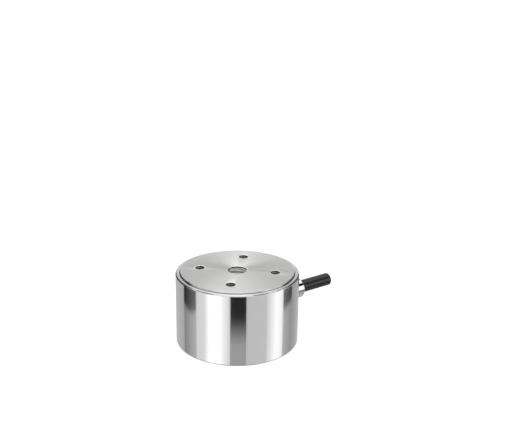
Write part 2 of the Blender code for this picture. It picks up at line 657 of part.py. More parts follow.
def make_cable_gland(steel_mat, washer_mat, rubber_mat, cable_axis):
    """Body screwed into the ring, cap over it, and the washer and seals that grip the cable."""
    body_outline = [
        (gland_bore_r, gland_inner_end),
        (gland_stub_r, gland_inner_end),
        (gland_stub_r, gland_seat),
        (gland_r, gland_seat),
        (gland_r, collar_end),
        (gland_stub_r, collar_end),
        (gland_stub_r, outer_stub_end - EDGE_BREAK),
        (gland_stub_r - EDGE_BREAK, outer_stub_end),
        (gland_bore_r, outer_stub_end),
    ]
    lathe("gland_body", body_outline, steel_mat, GLAND_SEGMENTS, cable_axis)

    cavity_end = gland_face - GLAND_END_WALL
    shoulder = []
    for i in range(SHOULDER_STEPS + 1):
        turn = pi / 2 * i / SHOULDER_STEPS
        shoulder.append((gland_r - GLAND_SHOULDER * (1 - cos(turn)),
                         gland_face - GLAND_SHOULDER * (1 - sin(turn))))
    cap_outline = [
        (gland_hole_r, collar_end + SEAT_GAP),
        (gland_r, collar_end + SEAT_GAP),
        *shoulder,
        (gland_bore_r, gland_face),
        (gland_bore_r, cavity_end),
        (gland_hole_r, cavity_end),
    ]
    lathe("gland_cap", cap_outline, steel_mat, GLAND_SEGMENTS, cable_axis)

    washer_start = outer_stub_end + SEAT_GAP
    washer_end = washer_start + CLAMP_WASHER_THICKNESS
    lathe("clamp_washer", ring_outline(gland_bore_r, gland_stub_r, washer_start, washer_end),
          washer_mat, GLAND_SEGMENTS, cable_axis)
    lathe("sealing_grommet", ring_outline(gland_bore_r, gland_stub_r, washer_end + SEAT_GAP,
                                          cavity_end - SEAT_GAP),
          rubber_mat, GLAND_SEGMENTS, cable_axis)

    section_r = ORING_SECTION / 2
    centre_r = gland_stub_r + ORING_CLEARANCE / 2 + section_r
    centre_height = spot_face + ORING_CLEARANCE + section_r
    oring_outline = []
    for i in range(TINY_SEGMENTS):
        turn = 2 * pi * i / TINY_SEGMENTS
        oring_outline.append((centre_r + section_r * cos(turn),
                              centre_height + section_r * sin(turn)))
    lathe("gland_oring", oring_outline, rubber_mat, GLAND_SEGMENTS, cable_axis)


def make_cable_axis():
    """Empty on the cable's centre line, its local Z pointing out of the body."""
    axis = bpy.data.objects.new("cable_axis", None)
    bpy.context.collection.objects.link(axis)
    axis.location = (0, 0, CABLE_AXIS_HEIGHT)
    axis.rotation_euler = (0, pi / 2, 0)
    return axis


def main():
    clear_scene()
    steel = material("turned_steel", (0.62, 0.62, 0.62), 0.22, 1.0)
    polished = material("polished_steel", (0.66, 0.66, 0.66), 0.12, 1.0)
    membrane = material("rolled_steel", (0.58, 0.58, 0.58), 0.3, 1.0)
    brass = material("brass", (0.72, 0.55, 0.25), 0.3, 1.0)
    gauge_film = material("gauge_film", (0.75, 0.50, 0.16), 0.45, 0.0)
    ribbon_film = material("lead_film", (0.70, 0.30, 0.12), 0.5, 0.0)
    board_green = material("board_green", (0.04, 0.24, 0.10), 0.4, 0.0)
    board_white = material("spacer_white", (0.80, 0.78, 0.72), 0.5, 0.0)
    chip_black = material("chip_black", (0.03, 0.03, 0.03), 0.4, 0.0)
    black_rubber = material("black_rubber", (0.02, 0.02, 0.02), 0.7, 0.0)
    jacket_black = material("jacket_black", (0.045, 0.045, 0.048), 0.5, 0.0)
    tinned_braid = material("tinned_braid", (0.60, 0.60, 0.58), 0.4, 1.0)
    wires = [
        material("wire_red", (0.60, 0.03, 0.02), 0.45, 0.0),
        material("wire_black", (0.02, 0.02, 0.02), 0.45, 0.0),
        material("wire_green", (0.03, 0.35, 0.08), 0.45, 0.0),
        material("wire_white", (0.80, 0.80, 0.78), 0.45, 0.0),
    ]
    cable_axis = make_cable_axis()
    make_spring_element(steel, cable_axis)
    make_base_flange(steel)
    make_outer_sleeve(polished, cable_axis)
    make_sealing_diaphragm(membrane)
    make_strain_gauges(gauge_film, ribbon_film)
    make_circuit_board(board_green, board_white, brass, chip_black)
    make_cable(jacket_black, tinned_braid, wires, brass, cable_axis)
    make_cable_gland(polished, brass, black_rubber, cable_axis)


main()
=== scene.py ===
"""Looks of the tension and compression force sensor.

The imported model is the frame: metres, +Z up the load axis, +X out along the cable. The pieces
that can be seen are made again here with finer surfaces, real threads and rounded edges. The
inner pieces keep their solids and get their materials.
"""

import json
from math import asin, atan2, cos, pi, radians, sin, tan

import bmesh
import bpy
from mathutils import Matrix, Vector


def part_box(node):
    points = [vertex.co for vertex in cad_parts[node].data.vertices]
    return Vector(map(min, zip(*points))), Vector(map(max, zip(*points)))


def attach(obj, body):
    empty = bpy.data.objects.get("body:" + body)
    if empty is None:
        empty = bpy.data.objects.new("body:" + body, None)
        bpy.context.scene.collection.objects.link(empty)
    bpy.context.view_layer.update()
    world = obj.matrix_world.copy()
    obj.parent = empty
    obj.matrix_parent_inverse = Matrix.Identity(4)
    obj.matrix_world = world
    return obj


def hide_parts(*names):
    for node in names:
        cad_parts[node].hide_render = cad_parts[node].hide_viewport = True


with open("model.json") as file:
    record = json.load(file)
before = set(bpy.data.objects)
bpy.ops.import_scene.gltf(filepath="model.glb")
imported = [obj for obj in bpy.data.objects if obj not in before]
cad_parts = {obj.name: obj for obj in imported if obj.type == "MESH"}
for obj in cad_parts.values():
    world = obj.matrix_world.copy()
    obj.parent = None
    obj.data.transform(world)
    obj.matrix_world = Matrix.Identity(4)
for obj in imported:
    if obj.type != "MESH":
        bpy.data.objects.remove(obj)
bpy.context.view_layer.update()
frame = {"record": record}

MM = 0.001


def low(node):
    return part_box(node)[0]


def high(node):
    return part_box(node)[1]


# Sizes read from the frame
body_r = high("outer_sleeve").y
rim_top = high("outer_sleeve").z
sleeve_foot = low("outer_sleeve").z
body_height = high("spring_element").z
hub_bottom = low("spring_element").z
ring_outer_r = high("spring_element").y
boss_top = high("base_flange").z
base_foot_r = high("base_flange").y
diaphragm_r = high("sealing_diaphragm").y
diaphragm_low = low("sealing_diaphragm").z
gland_r = high("gland_cap").y
gland_face = high("gland_cap").x
gland_end = high("gland_body").x
gland_start = low("gland_body").x
cap_start = low("gland_cap").x
oring_end = high("gland_oring").x
cable_r = high("cable_jacket").y
cable_start = low("cable_jacket").x
cable_end = high("cable_jacket").x
core_end = high("conductor_1").x
cable_height = (low("cable_jacket").z + high("cable_jacket").z) / 2
gland_stub_r = high("clamp_washer").y
board_screw_r = -(low("board_screw_2").x + high("board_screw_2").x) / 2

# Sizes of the solids that no box gives
SEAT_GAP = 0.3 * MM
EDGE_BREAK = 0.2 * MM
SLEEVE_WALL = 1.3 * MM
RIM_CHAMFER = 0.4 * MM
RIM_BAND = 0.03 * MM            # depth under the rim's top that has the rim's own finish
FOOT_CHAMFER = 0.3 * MM
LOCATING_STEP = 0.4 * MM
LOCATING_HEIGHT = 1.5 * MM
DIAPHRAGM_SEAT = 0.4 * MM
DIAPHRAGM_THICKNESS = 0.35 * MM
DIAPHRAGM_GAP = 0.15 * MM
LOAD_FLANGE_THICKNESS = 7.0 * MM
LOAD_FLANGE_RADIUS = 23.2 * MM
SLOT_HEIGHT = 0.8 * MM
SPOKE_HEIGHT = 5.0 * MM
SPOKE_WIDTH = 7.0 * MM
WINDOW_LAND = 0.8 * MM
WINDOW_FILLET = 1.5 * MM
HUB_RADIUS = 8.0 * MM
RING_WALL = 4.0 * MM
BASE_THICKNESS = 7.2 * MM
SPIGOT_HEIGHT = 1.5 * MM
BOSS_RADIUS = 7.0 * MM
BOARD_SCREW_HOLE_R = 0.95 * MM
BOARD_SCREW_DEPTH = 2.5 * MM
FIXING_CIRCLE = 31.0 * MM
CABLE_CLEARANCE = 0.15 * MM
GLAND_CLEARANCE = 0.2 * MM
GLAND_SHOULDER = 0.8 * MM
GLAND_END_WALL = 1.2 * MM
SPOT_FACE_DEPTH = 1.4 * MM
ORING_CLEARANCE = 0.1 * MM
JACKET_WALL = 0.8 * MM
JACKET_ROUND = 0.3 * MM
CORE_OFFSET = 0.55 * MM

# The dark ring in the gland's seam, which only the scene has and which paints the seam's shade:
# clearances and depths under the wall
SEAM_SHADE_INNER_CLEARANCE = 0.03 * MM
SEAM_SHADE_OUTER_CLEARANCE = 0.021 * MM
SEAM_SHADE_START_DEPTH = 1.2 * MM
SEAM_SHADE_END_DEPTH = 0.3 * MM

sleeve_inner_r = body_r - SLEEVE_WALL
ring_inner_r = ring_outer_r - RING_WALL
flange_bottom = body_height - LOAD_FLANGE_THICKNESS
ring_top = flange_bottom - SLOT_HEIGHT
spoke_bottom = ring_top - SPOKE_HEIGHT
ring_bottom = BASE_THICKNESS + SEAT_GAP
spigot_top = BASE_THICKNESS + SPIGOT_HEIGHT
spot_face = ring_outer_r - SPOT_FACE_DEPTH
gland_bore_r = cable_r + CABLE_CLEARANCE
gland_hole_r = gland_stub_r + GLAND_CLEARANCE

# Threads: diameter, tapping drill, pitch and depth
CENTRE_THREAD = (8.0 * MM, 6.8 * MM, 1.25 * MM, 11.0 * MM)
FIXING_THREAD = (4.0 * MM, 3.3 * MM, 0.7 * MM, 5.0 * MM)
THREAD_FLAT = 0.12              # flat share of the pitch at crest and root
THREAD_ROWS = 10                # rows of points to one pitch
DRILL_POINT = radians(59)       # half of the drill's point angle
MOUTH_WIDTH = 0.25 * MM
MOUTH_DEPTH = 0.06 * MM
THREAD_START = 0.4              # plain share of a pitch under the mouth

# Facets
BODY_SEGMENTS = 256
GLAND_SEGMENTS = 96
CENTRE_THREAD_SEGMENTS = 72
FIXING_THREAD_SEGMENTS = 48
SMALL_HOLE_SEGMENTS = 24
SMOOTH_ANGLE = radians(28)
OVERRUN = 1.0 * MM
WELD = 0.00001 * MM
LEVEL = 0.9999                  # a face whose normal is this close to upright is shaded flat
SUPPORT_REACH = 1.4             # how far past a rounded edge its support points lie, in reaches
SHOULDER_SUPPORT = 1.3          # the same for the gland's shoulder
LONGEST_ROUND = 0.33            # share of a side that one rounded corner may take

# Radii of the rounded edges
TURNED_EDGE = 0.08 * MM
SLEEVE_EDGE = 0.1 * MM
DIAPHRAGM_EDGE = 0.05 * MM
GLAND_EDGE = 0.1 * MM
CAP_EDGE = 0.12 * MM
SEAM_SHADE_EDGE = 0.04 * MM

# The camera, fitted to the photograph in a frame where +Y is away from it
PHOTO_WIDTH = 505
FOCAL_LENGTH_PX = 765.0
SENSOR_WIDTH = 36.0             # in Blender's millimetres
CAMERA_TURN = radians(36.75)    # the cable points this far round from the photograph's right
CAMERA_PITCH = radians(17.53)
CAMERA_ROLL = radians(0.67)
CAMERA_DISTANCE = 318.25 * MM
CAMERA_RIGHT = 5.84 * MM
CAMERA_UP = 50.46 * MM


def make_camera():
    """The photograph's camera, turned into the frame, whose +X runs along the cable."""
    forward = Vector((0, cos(CAMERA_PITCH), -sin(CAMERA_PITCH)))
    level_right = Vector((1, 0, 0))
    level_up = Vector((0, sin(CAMERA_PITCH), cos(CAMERA_PITCH)))
    right = cos(CAMERA_ROLL) * level_right + sin(CAMERA_ROLL) * level_up
    up = -sin(CAMERA_ROLL) * level_right + cos(CAMERA_ROLL) * level_up
    place = -forward * CAMERA_DISTANCE + level_right * CAMERA_RIGHT + level_up * CAMERA_UP
    pose = Matrix((right, up, -forward)).transposed().to_4x4()
    pose.translation = place
    data = bpy.data.cameras.new("camera")
    data.sensor_width = SENSOR_WIDTH
    data.lens = FOCAL_LENGTH_PX / PHOTO_WIDTH * SENSOR_WIDTH
    data.clip_start = 0.01
    data.clip_end = 100
    camera = bpy.data.objects.new("camera", data)
    camera.matrix_world = Matrix.Rotation(-CAMERA_TURN, 4, "Z") @ pose
    bpy.context.scene.collection.objects.link(camera)
    bpy.context.scene.camera = camera


# Materials

class Nodes:
    """Short calls for building one material's node tree."""

    def __init__(self, name):
        self.material = bpy.data.materials.new(name)
        self.material.use_nodes = True
        self.tree = self.material.node_tree
        self.shader = self.tree.nodes["Principled BSDF"]
        coords = self.tree.nodes.new("ShaderNodeTexCoord")
        split = self.tree.nodes.new("ShaderNodeSeparateXYZ")
        self.place = coords.outputs["Object"]
        self.link(self.place, split.inputs[0])
        self.x, self.y, self.z = split.outputs

    def link(self, source, target):
        self.tree.links.new(source, target)

    def fill(self, socket, value):
        """Links a socket to another one, or gives it a value or a colour."""
        if isinstance(value, bpy.types.NodeSocket):
            self.link(value, socket)
        elif isinstance(value, tuple):
            socket.default_value = (*value, 1.0)
        else:
            socket.default_value = value

    def set(self, values):
        for name, value in values.items():
            self.fill(self.shader.inputs[name], value)

    def math(self, operation, a, b=0.0):
        node = self.tree.nodes.new("ShaderNodeMath")
        node.operation = operation
        self.fill(node.inputs[0], a)
        self.fill(node.inputs[1], b)
        return node.outputs[0]

    def sum(self, a, share_a, b, share_b):
        return self.math("ADD", self.math("MULTIPLY", a, share_a), self.math("MULTIPLY", b, share_b))

    def length(self, a, b):
        squares = self.math("ADD", self.math("MULTIPLY", a, a), self.math("MULTIPLY", b, b))
        return self.math("SQRT", squares)

    def combine(self, x=0.0, y=0.0, z=0.0):
        node = self.tree.nodes.new("ShaderNodeCombineXYZ")
        for socket, value in zip(node.inputs, (x, y, z)):
            self.fill(socket, value)
        return node.outputs[0]

    def noise(self, scale, detail=2.0, vector=None):
        node = self.tree.nodes.new("ShaderNodeTexNoise")
        self.link(vector or self.place, node.inputs["Vector"])
        node.inputs["Scale"].default_value = scale
        node.inputs["Detail"].default_value = detail
        return node.outputs[0]

    def remap(self, value, to_low, to_high, from_low=0.3, from_high=0.7):
        node = self.tree.nodes.new("ShaderNodeMapRange")
        for name, number in (("From Min", from_low), ("From Max", from_high),
                             ("To Min", to_low), ("To Max", to_high)):
            node.inputs[name].default_value = number
        self.link(value, node.inputs["Value"])
        return node.outputs[0]

    def mix(self, factor, a, b):
        """One colour at factor 0, the other at factor 1."""
        node = self.tree.nodes.new("ShaderNodeMix")
        node.data_type = "RGBA"
        self.fill(node.inputs["Factor"], factor)
        self.fill(node.inputs[6], a)
        self.fill(node.inputs[7], b)
        return node.outputs[2]

    def bump(self, height, strength, distance):
        node = self.tree.nodes.new("ShaderNodeBump")
        node.inputs["Strength"].default_value = strength
        node.inputs["Distance"].default_value = distance
        self.link(height, node.inputs["Height"])
        self.link(node.outputs[0], self.shader.inputs["Normal"])


def shade(colour, level):
    """The colour times a level."""
    return tuple(c * level for c in colour)


ACROSS_GROOVES = 0.25       # a quarter turn, so that highlights spread across the turning lines
COARSE_LINES, FINE_LINES, WEAR_SPOTS = 1600.0, 9000.0, 160.0        # noise periods to a metre
GROOVE_DEPTH = 0.002 * MM


def turned_metal(name, colour, roughness, spread, axis, follow, depth):
    """Metal off a lathe: fine rings about an axis, and highlights that spread across them.
    The rings follow the radius on a face and the length on a wall."""
    n = Nodes(name)
    along, a, b = {"X": (n.x, n.y, n.z), "Z": (n.z, n.x, n.y)}[axis]
    across = n.combine(n.length(a, b) if follow == "radius" else along)
    coarse = n.noise(COARSE_LINES, 4.0, across)
    grooves = n.sum(coarse, 0.6, n.noise(FINE_LINES, 2.0, across), 0.4)
    wear = n.sum(coarse, 0.7, n.noise(WEAR_SPOTS), 0.3)
    tangent = n.tree.nodes.new("ShaderNodeTangent")
    tangent.direction_type = "RADIAL"
    tangent.axis = axis
    n.set({"Base Color": n.mix(n.remap(wear, 0.0, 1.0), shade(colour, 0.97), colour), "Metallic": 1.0,
           "Roughness": n.remap(wear, roughness * 0.88, roughness * 1.12), "Anisotropic": spread,
           "Anisotropic Rotation": ACROSS_GROOVES, "Tangent": tangent.outputs[0]})
    n.bump(grooves, depth, GROOVE_DEPTH)
    return n.material


def plain_metal(name, colour, roughness):
    """Metal with a fine even grain."""
    n = Nodes(name)
    grain = n.noise(2500.0, 3.0)
    n.set({"Base Color": n.mix(n.remap(n.noise(300.0), 0.0, 1.0), shade(colour, 0.92), colour),
           "Metallic": 1.0, "Roughness": n.remap(grain, roughness * 0.8, roughness * 1.2)})
    n.bump(grain, 0.15, 0.004 * MM)
    return n.material


def plastic(name, colour, roughness, grain_scale, depth):
    """Plastic, rubber, ceramic or film with a fine grain and a little unevenness in its tone."""
    n = Nodes(name)
    grain = n.noise(grain_scale, 3.0)
    tone = n.remap(n.noise(grain_scale / 12), 0.0, 1.0)
    n.set({"Base Color": n.mix(tone, shade(colour, 0.85), shade(colour, 1.1)),
           "Roughness": n.remap(grain, roughness * 0.88, roughness * 1.12)})
    n.bump(grain, depth, 0.01 * MM)
    return n.material


def jacket_material():
    """Black cable jacket, with the faint lengthwise lines of its extrusion."""
    n = Nodes("cable_jacket_black")
    stretched = n.combine(n.math("MULTIPLY", n.x, 0.03), n.y, n.z)
    lines = n.noise(2600.0, 2.0, stretched)
    grain = n.noise(4500.0)
    n.set({"Base Color": n.mix(n.remap(lines, 0.0, 1.0), (0.007, 0.007, 0.0073), (0.011, 0.011, 0.0114)),
           "Roughness": n.remap(grain, 0.18, 0.26)})
    n.bump(n.sum(lines, 0.6, grain, 0.4), 0.2, 0.004 * MM)
    return n.material


def gauge_material():
    """Amber film with the foil's fine lines."""
    n = Nodes("gauge_foil")
    across = n.math("SUBTRACT", n.math("ABSOLUTE", n.x), n.math("ABSOLUTE", n.y))
    wave = n.math("SINE", n.math("MULTIPLY", across, 2 * pi / (0.34 * MM)))
    foil = n.remap(wave, 0.0, 1.0, -0.1, 0.1)
    n.set({"Base Color": n.mix(foil, (0.75, 0.46, 0.12), (0.55, 0.52, 0.46)),
           "Metallic": n.math("MULTIPLY", foil, 0.8), "Roughness": n.remap(n.noise(3000.0), 0.28, 0.4)})
    n.bump(foil, 0.3, 0.01 * MM)
    return n.material


def board_material():
    """Green solder mask with ring-shaped tracks under it."""
    n = Nodes("board_mask")
    wave = n.math("SINE", n.math("MULTIPLY", n.length(n.x, n.y), 2 * pi / (1.1 * MM)))
    track = n.remap(wave, 0.0, 1.0, 0.35, 0.5)
    n.set({"Base Color": n.mix(track, (0.02, 0.17, 0.06), (0.05, 0.30, 0.11)),
           "Roughness": n.remap(n.noise(2500.0), 0.22, 0.34)})
    n.bump(track, 0.4, 0.02 * MM)
    return n.material


def braid_material():
    """Tinned wires that cross each other round the cable."""
    n = Nodes("screen_braid")
    turn = n.math("MULTIPLY", n.math("ARCTAN2", n.y, n.math("SUBTRACT", n.z, cable_height)), 8.0)
    run = n.math("MULTIPLY", n.x, 2 * pi / (1.2 * MM))
    weave = n.math("MULTIPLY", n.math("SINE", n.math("ADD", turn, run)),
                   n.math("SINE", n.math("SUBTRACT", turn, run)))
    n.set({"Base Color": n.mix(n.remap(weave, 0.0, 1.0, -1.0, 1.0),
                               (0.35, 0.35, 0.34), (0.72, 0.72, 0.70)),
           "Metallic": 1.0, "Roughness": n.remap(n.noise(4000.0), 0.3, 0.42)})
    n.bump(weave, 0.8, 0.05 * MM)
    return n.material


# Meshes

def corner_arc(before, corner, after, radius, steps=3):
    """Points that round one corner, with a support point on each side of the arc."""
    corner, before, after = Vector(corner), Vector(before), Vector(after)
    back, ahead = before - corner, after - corner
    reach = min(radius, back.length * LONGEST_ROUND, ahead.length * LONGEST_ROUND)
    start = corner + back.normalized() * reach
    end = corner + ahead.normalized() * reach
    points = [corner + back.normalized() * reach * SUPPORT_REACH]
    for i in range(steps + 1):
        t = i / steps
        points.append((1 - t) ** 2 * start + 2 * t * (1 - t) * corner + t * t * end)
    points.append(corner + ahead.normalized() * reach * SUPPORT_REACH)
    return [tuple(p) for p in points]


def rounded(outline, radius):
    """The outline with its corners rounded. Points on the axis stay as they are."""
    points = []
    for i, corner in enumerate(outline):
        if corner[0] == 0:
            points.append(tuple(corner))
        else:
            points += corner_arc(outline[i - 1], corner, outline[(i + 1) % len(outline)], radius)
    return points


def quarter_round(radius, length, size, steps):
    """Rounded outer shoulder that ends at a radius and a length."""
    turns = [pi / 2 * i / steps for i in range(steps + 1)]
    return [(radius - size * (1 - cos(t)), length - size * (1 - sin(t))) for t in turns]


def finish_mesh(name, bm):
    """A smooth-shaded mesh with its faces pointing out."""
    bmesh.ops.remove_doubles(bm, verts=bm.verts, dist=WELD)
    bmesh.ops.recalc_face_normals(bm, faces=bm.faces)
    mesh = bpy.data.meshes.new(name)
    bm.to_mesh(mesh)
    bm.free()
    mesh.shade_smooth()
    mesh.set_sharp_from_angle(angle=SMOOTH_ANGLE)
    return mesh


def join_rings(bm, rings):
    """Skins a list of rings, each of which holds the same number of points."""
    for a, b in zip(rings, rings[1:]):
        for k in range(len(a)):
            m = (k + 1) % len(a)
            corners = list(dict.fromkeys((a[k], a[m], b[m], b[k])))
            if len(corners) > 2:
                bm.faces.new(corners)


def lathe_mesh(name, outline, segments=BODY_SEGMENTS):
    """Turned form about local Z. The (radius, height) outline is a closed loop,
    or runs from the axis to the axis."""
    bm = bmesh.new()
    turns = [2 * pi * k / segments for k in range(segments)]
    rings = []
    for r, z in outline:
        if r == 0:
            rings.append([bm.verts.new((0, 0, z))] * segments)
        else:
            rings.append([bm.verts.new((r * cos(t), r * sin(t), z)) for t in turns])
    if outline[0][0] > 0:
        rings.append(rings[0])
    join_rings(bm, rings)
    return finish_mesh(name, bm)


CABLE_AXIS = Matrix.Translation((0, 0, cable_height)) @ Matrix.Rotation(pi / 2, 4, "Y")


def add_piece(name, mesh, mat, replaces=None, place=None):
    """Links a piece, gives it its material and slot, and seats it on the body."""
    if place:
        mesh.transform(place)
    piece = bpy.data.objects.new(name, mesh)
    bpy.context.scene.collection.objects.link(piece)
    mesh.materials.append(mat)
    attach(piece, "root")
    if replaces:
        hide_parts(replaces)
    return piece


def cut_away(piece, cutter_mesh, places):
    """Takes the cutter's form out of the piece at each place, and keeps the result as its mesh.
    The cut faces get the cutter's material, if it has one."""
    for place in places:
        cutter = bpy.data.objects.new("cutter", cutter_mesh)
        bpy.context.scene.collection.objects.link(cutter)
        cutter.matrix_world = place
        boolean = piece.modifiers.new("cut", "BOOLEAN")
        boolean.operation = "DIFFERENCE"
        boolean.solver = "EXACT"
        boolean.material_mode = "TRANSFER" if cutter_mesh.materials else "INDEX"
        boolean.object = cutter
        bpy.context.view_layer.update()
        depsgraph = bpy.context.evaluated_depsgraph_get()
        mesh = bpy.data.meshes.new_from_object(piece.evaluated_get(depsgraph))
        piece.modifiers.clear()
        piece.data = mesh
        bpy.data.objects.remove(cutter)
    piece.data.shade_smooth()
    for face in piece.data.polygons:
        face.use_smooth = abs(face.normal.z) < LEVEL
    piece.data.set_sharp_from_angle(angle=SMOOTH_ANGLE)


def plug_mesh(name, steps, segments=GLAND_SEGMENTS):
    """Cutter for a stepped round hole, from (radius, start, end) steps along local Z."""
    outline = [(0.0, steps[0][1])]
    for r, start, end in steps:
        outline += [(r, start), (r, end)]
    outline.append((0.0, steps[-1][2]))
    return lathe_mesh(name, outline, segments)


def round_place(radius, angle, height):
    """Place at a radius and an angle about the load axis."""
    return Matrix.Translation((radius * cos(angle), radius * sin(angle), height))


# Threads

def thread_radius(height, angle, major_r, minor_r, pitch):
    """Radius of an internal thread's surface at a height and an angle."""
    phase = (height / pitch - angle / (2 * pi)) % 1.0
    wave = abs(2 * phase - 1)
    flank = (wave - THREAD_FLAT) / (1 - 2 * THREAD_FLAT)
    return minor_r + (major_r - minor_r) * min(max(flank, 0.0), 1.0)


def threaded_hole_mesh(name, thread, segments):
    """Cutter for a tapped blind hole that goes down from local Z = 0, with a shallow flared mouth
    and a plain start. The mouth has the second material and the plain start the third."""
    diameter, drill, pitch, depth = thread
    plain_end = -MOUTH_DEPTH - THREAD_START * pitch
    rows = int((depth + plain_end) / pitch * THREAD_ROWS)
    heights = [OVERRUN, 0.0, -MOUTH_DEPTH, plain_end]
    heights += [plain_end - (depth + plain_end) * i / rows for i in range(1, rows + 1)]
    turns = [2 * pi * k / segments for k in range(segments)]
    bm = bmesh.new()
    rings = [[bm.verts.new((0, 0, OVERRUN))] * segments]
    for z in heights:
        ring = []
        for t in turns:
            if z < plain_end:
                r = thread_radius(z, t, diameter / 2, drill / 2, pitch)
            else:
                r = diameter / 2 + MOUTH_WIDTH * max(0.0, 1 + min(z, 0.0) / MOUTH_DEPTH)
            ring.append(bm.verts.new((r * cos(t), r * sin(t), z)))
        rings.append(ring)
    rings.append([bm.verts.new((0, 0, -depth - drill / 2 / tan(DRILL_POINT)))] * segments)
    join_rings(bm, rings)
    mesh = finish_mesh(name, bm)
    for face in mesh.polygons:
        # mouth faces take the second material, a painted highlight
        if -MOUTH_DEPTH < face.center.z < 0:
            face.material_index = 1
        # plain start faces take the third material, painted shade of the first turn
        elif plain_end < face.center.z < -MOUTH_DEPTH:
            face.material_index = 2
    return mesh


def cut_threads(piece, face_height, facing_up, centre_mat, fixing_mat, mouth_mat, start_mat):
    """The centre thread and the four fixing threads of one load face."""
    turn = Matrix.Identity(4) if facing_up else Matrix.Rotation(pi, 4, "X")
    centre = threaded_hole_mesh("centre_thread", CENTRE_THREAD, CENTRE_THREAD_SEGMENTS)
    fixing = threaded_hole_mesh("fixing_thread", FIXING_THREAD, FIXING_THREAD_SEGMENTS)
    for mesh, mat in ((centre, centre_mat), (fixing, fixing_mat)):
        mesh.materials.append(mat)
        mesh.materials.append(mouth_mat)
        mesh.materials.append(start_mat)
    cut_away(piece, centre, [Matrix.Translation((0, 0, face_height)) @ turn])
    spots = [round_place(FIXING_CIRCLE / 2, radians(45 + 90 * i), face_height) for i in range(4)]
    cut_away(piece, fixing, [spot @ turn for spot in spots])


# The steel pieces

WINDOW_OUTER_STEPS = 20
WINDOW_INNER_STEPS = 12


def window_mesh():
    """Cutter for the space between two spokes, centred on local +X, with filleted corners."""
    inner_r, outer_r = HUB_RADIUS + WINDOW_LAND, ring_inner_r - WINDOW_LAND
    inner_half = pi / 4 - asin(SPOKE_WIDTH / 2 / inner_r)
    outer_half = pi / 4 - asin(SPOKE_WIDTH / 2 / outer_r)
    turns = [(outer_r, outer_half * (2 * i / WINDOW_OUTER_STEPS - 1))
             for i in range(WINDOW_OUTER_STEPS + 1)]
    turns += [(inner_r, inner_half * (1 - 2 * i / WINDOW_INNER_STEPS))
              for i in range(WINDOW_INNER_STEPS + 1)]
    bm = bmesh.new()
    verts = [bm.verts.new((r * cos(t), r * sin(t), 0)) for r, t in turns]
    bm.faces.new(verts)
    corners = [verts[i] for i in (0, WINDOW_OUTER_STEPS, WINDOW_OUTER_STEPS + 1, -1)]
    bmesh.ops.bevel(bm, geom=corners, offset=WINDOW_FILLET, segments=6, profile=0.5, affect="VERTICES")
    grown = bmesh.ops.extrude_face_region(bm, geom=list(bm.faces))
    lid = [v for v in grown["geom"] if isinstance(v, bmesh.types.BMVert)]
    bmesh.ops.translate(bm, verts=lid, vec=(0, 0, SPOKE_HEIGHT + OVERRUN + SLOT_HEIGHT / 2))
    return finish_mesh("spoke_window", bm)


def make_spring_element(mat, edge_mat, hole_mats):
    """Load flange, hub, spokes and ring in one piece, with real threads in the load face and a
    polished edge round it."""
    outline = [
        (0.0, body_height),
        (LOAD_FLANGE_RADIUS - EDGE_BREAK, body_height),
        (LOAD_FLANGE_RADIUS, body_height - EDGE_BREAK),
        (LOAD_FLANGE_RADIUS, flange_bottom),
        (HUB_RADIUS, flange_bottom),
        (HUB_RADIUS, ring_top),
        (ring_outer_r, ring_top),
        (ring_outer_r, ring_bottom),
        (ring_inner_r, ring_bottom),
        (ring_inner_r, spoke_bottom),
        (HUB_RADIUS, spoke_bottom),
        (HUB_RADIUS, hub_bottom),
        (0.0, hub_bottom),
    ]
    element = add_piece("spring_element_turned",
                        lathe_mesh("spring_element", rounded(outline, TURNED_EDGE)),
                        mat, "spring_element")
    windows = [Matrix.Rotation(pi / 2 * i, 4, "Z") @ Matrix.Translation((0, 0, spoke_bottom - OVERRUN))
               for i in range(4)]
    cut_away(element, window_mesh(), windows)
    bore = plug_mesh("gland_bore", [(gland_hole_r, ring_inner_r - OVERRUN, spot_face),
                                    (gland_r + SEAT_GAP, spot_face, body_r)])
    cut_away(element, bore, [CABLE_AXIS])
    cut_threads(element, body_height, True, *hole_mats)
    element.data.materials.append(edge_mat)
    for face in element.data.polygons:
        if face.center.z > flange_bottom and face.center.xy.length > LOAD_FLANGE_RADIUS - EDGE_BREAK / 2:
            face.material_index = len(element.data.materials) - 1


def make_base_flange(mat, hole_mats):
    """Lower load face with its threads, spigot and boss."""
    step_r = sleeve_inner_r - SEAT_GAP
    spigot_r = ring_inner_r - SEAT_GAP
    outline = [
        (0.0, boss_top),
        (BOSS_RADIUS, boss_top),
        (BOSS_RADIUS, spigot_top),
        (spigot_r, spigot_top),
        (spigot_r, BASE_THICKNESS),
        (step_r, BASE_THICKNESS),
        (step_r, LOCATING_HEIGHT),
        (base_foot_r, LOCATING_HEIGHT),
        (base_foot_r, EDGE_BREAK),
        (base_foot_r - EDGE_BREAK, 0.0),
        (0.0, 0.0),
    ]
    base = add_piece("base_flange_turned", lathe_mesh("base_flange", rounded(outline, TURNED_EDGE)),
                     mat, "base_flange")
    hole = plug_mesh("board_screw_hole", [(BOARD_SCREW_HOLE_R, -BOARD_SCREW_DEPTH, OVERRUN)],
                     SMALL_HOLE_SEGMENTS)
    spots = [round_place(board_screw_r, radians(60 + 120 * i), spigot_top) for i in range(3)]
    cut_away(base, hole, spots)
    cut_threads(base, 0.0, False, *hole_mats)


